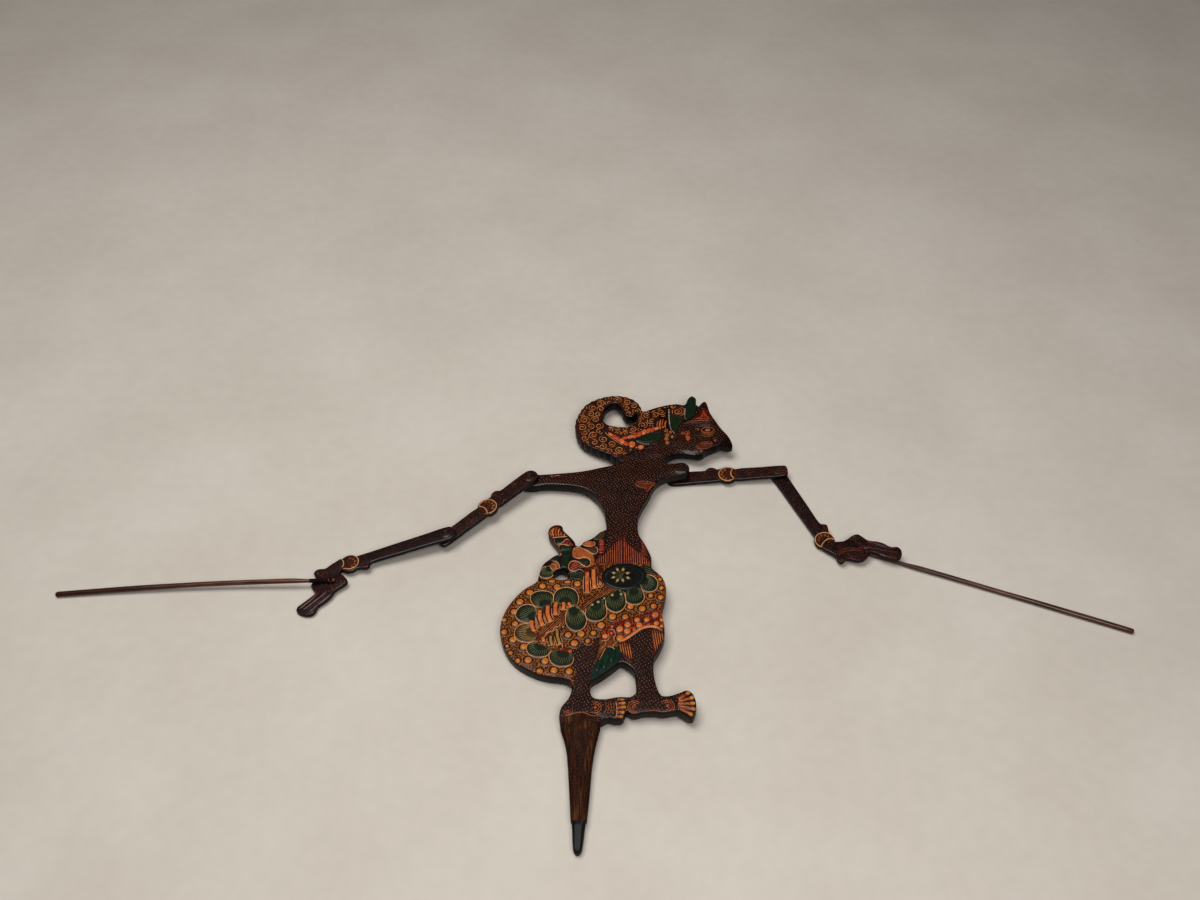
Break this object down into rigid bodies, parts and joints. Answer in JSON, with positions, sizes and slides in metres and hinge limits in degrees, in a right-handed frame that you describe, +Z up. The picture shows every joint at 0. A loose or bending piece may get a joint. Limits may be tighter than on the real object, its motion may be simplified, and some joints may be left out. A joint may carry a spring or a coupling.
{
  "type": "wayang klitik puppet",
  "caption": "Flat carved wooden stick puppet with a profile head, hinged arms turning on shoulder and elbow pins, and a guide rod tied to each hand.",
  "frame": {"origin": "middle of the bounding box, on the surface that the puppet lies on", "axes": "+X across the puppet, to the right as seen from its painted face with the head up; +Y from the spike to the head; +Z up out of the painted face"},
  "size_m": [1.0304, 0.5202, 0.0238],
  "materials": {
    "painted_board": "painted and varnished, semi-gloss",
    "painted_arm": "painted and varnished, semi-gloss",
    "rod_wood": "stained, satin",
    "pin_wood": "stained, satin",
    "thread": "waxed thread"
  },
  "bodies": {
    "board": {"body_board": "painted_board"},
    "upper_arm_left": {"upper_arm_left": "painted_arm", "shoulder_pin_left": "pin_wood"},
    "forearm_left": {"forearm_left": "painted_arm", "elbow_pin_left": "pin_wood"},
    "rod_left": {"rod_left": "rod_wood", "rod_tie_left": "thread"},
    "upper_arm_right": {"upper_arm_right": "painted_arm", "shoulder_pin_right": "pin_wood"},
    "forearm_right": {"forearm_right": "painted_arm", "elbow_pin_right": "pin_wood"},
    "rod_right": {"rod_right": "rod_wood", "rod_tie_right": "thread"}
  },
  "joints": [
    {"name": "shoulder_left", "type": "hinge", "parent": "board", "child": "upper_arm_left", "pos_m": [-0.06205, 0.13952, 0.01559], "axis": [-0.0884, -0.0111, 0.996], "continuous": true},
    {"name": "elbow_left", "type": "hinge", "parent": "upper_arm_left", "child": "forearm_left", "pos_m": [-0.14208, 0.06686, 0.013], "axis": [-0.0884, -0.0111, 0.996], "range_deg": [-126, 174]},
    {"name": "rod_swivel_left", "type": "hinge", "parent": "forearm_left", "child": "rod_left", "pos_m": [-0.24946, 0.01364, 0.01031], "axis": [-0.0884, -0.0111, 0.996], "range_deg": [-110, 110]},
    {"name": "shoulder_right", "type": "hinge", "parent": "board", "child": "upper_arm_right", "pos_m": [0.09054, 0.15069, 0.00064], "axis": [-0.0649, -0.0112, 0.9978], "continuous": true},
    {"name": "elbow_right", "type": "hinge", "parent": "upper_arm_right", "child": "forearm_right", "pos_m": [0.19852, 0.15613, 0.00241], "axis": [-0.0649, -0.0112, 0.9978], "range_deg": [-79, 220]},
    {"name": "rod_swivel_right", "type": "hinge", "parent": "forearm_right", "child": "rod_right", "pos_m": [0.2666, 0.05555, 0.00331], "axis": [-0.0649, -0.0112, 0.9978], "range_deg": [-110, 110]}
  ]
}
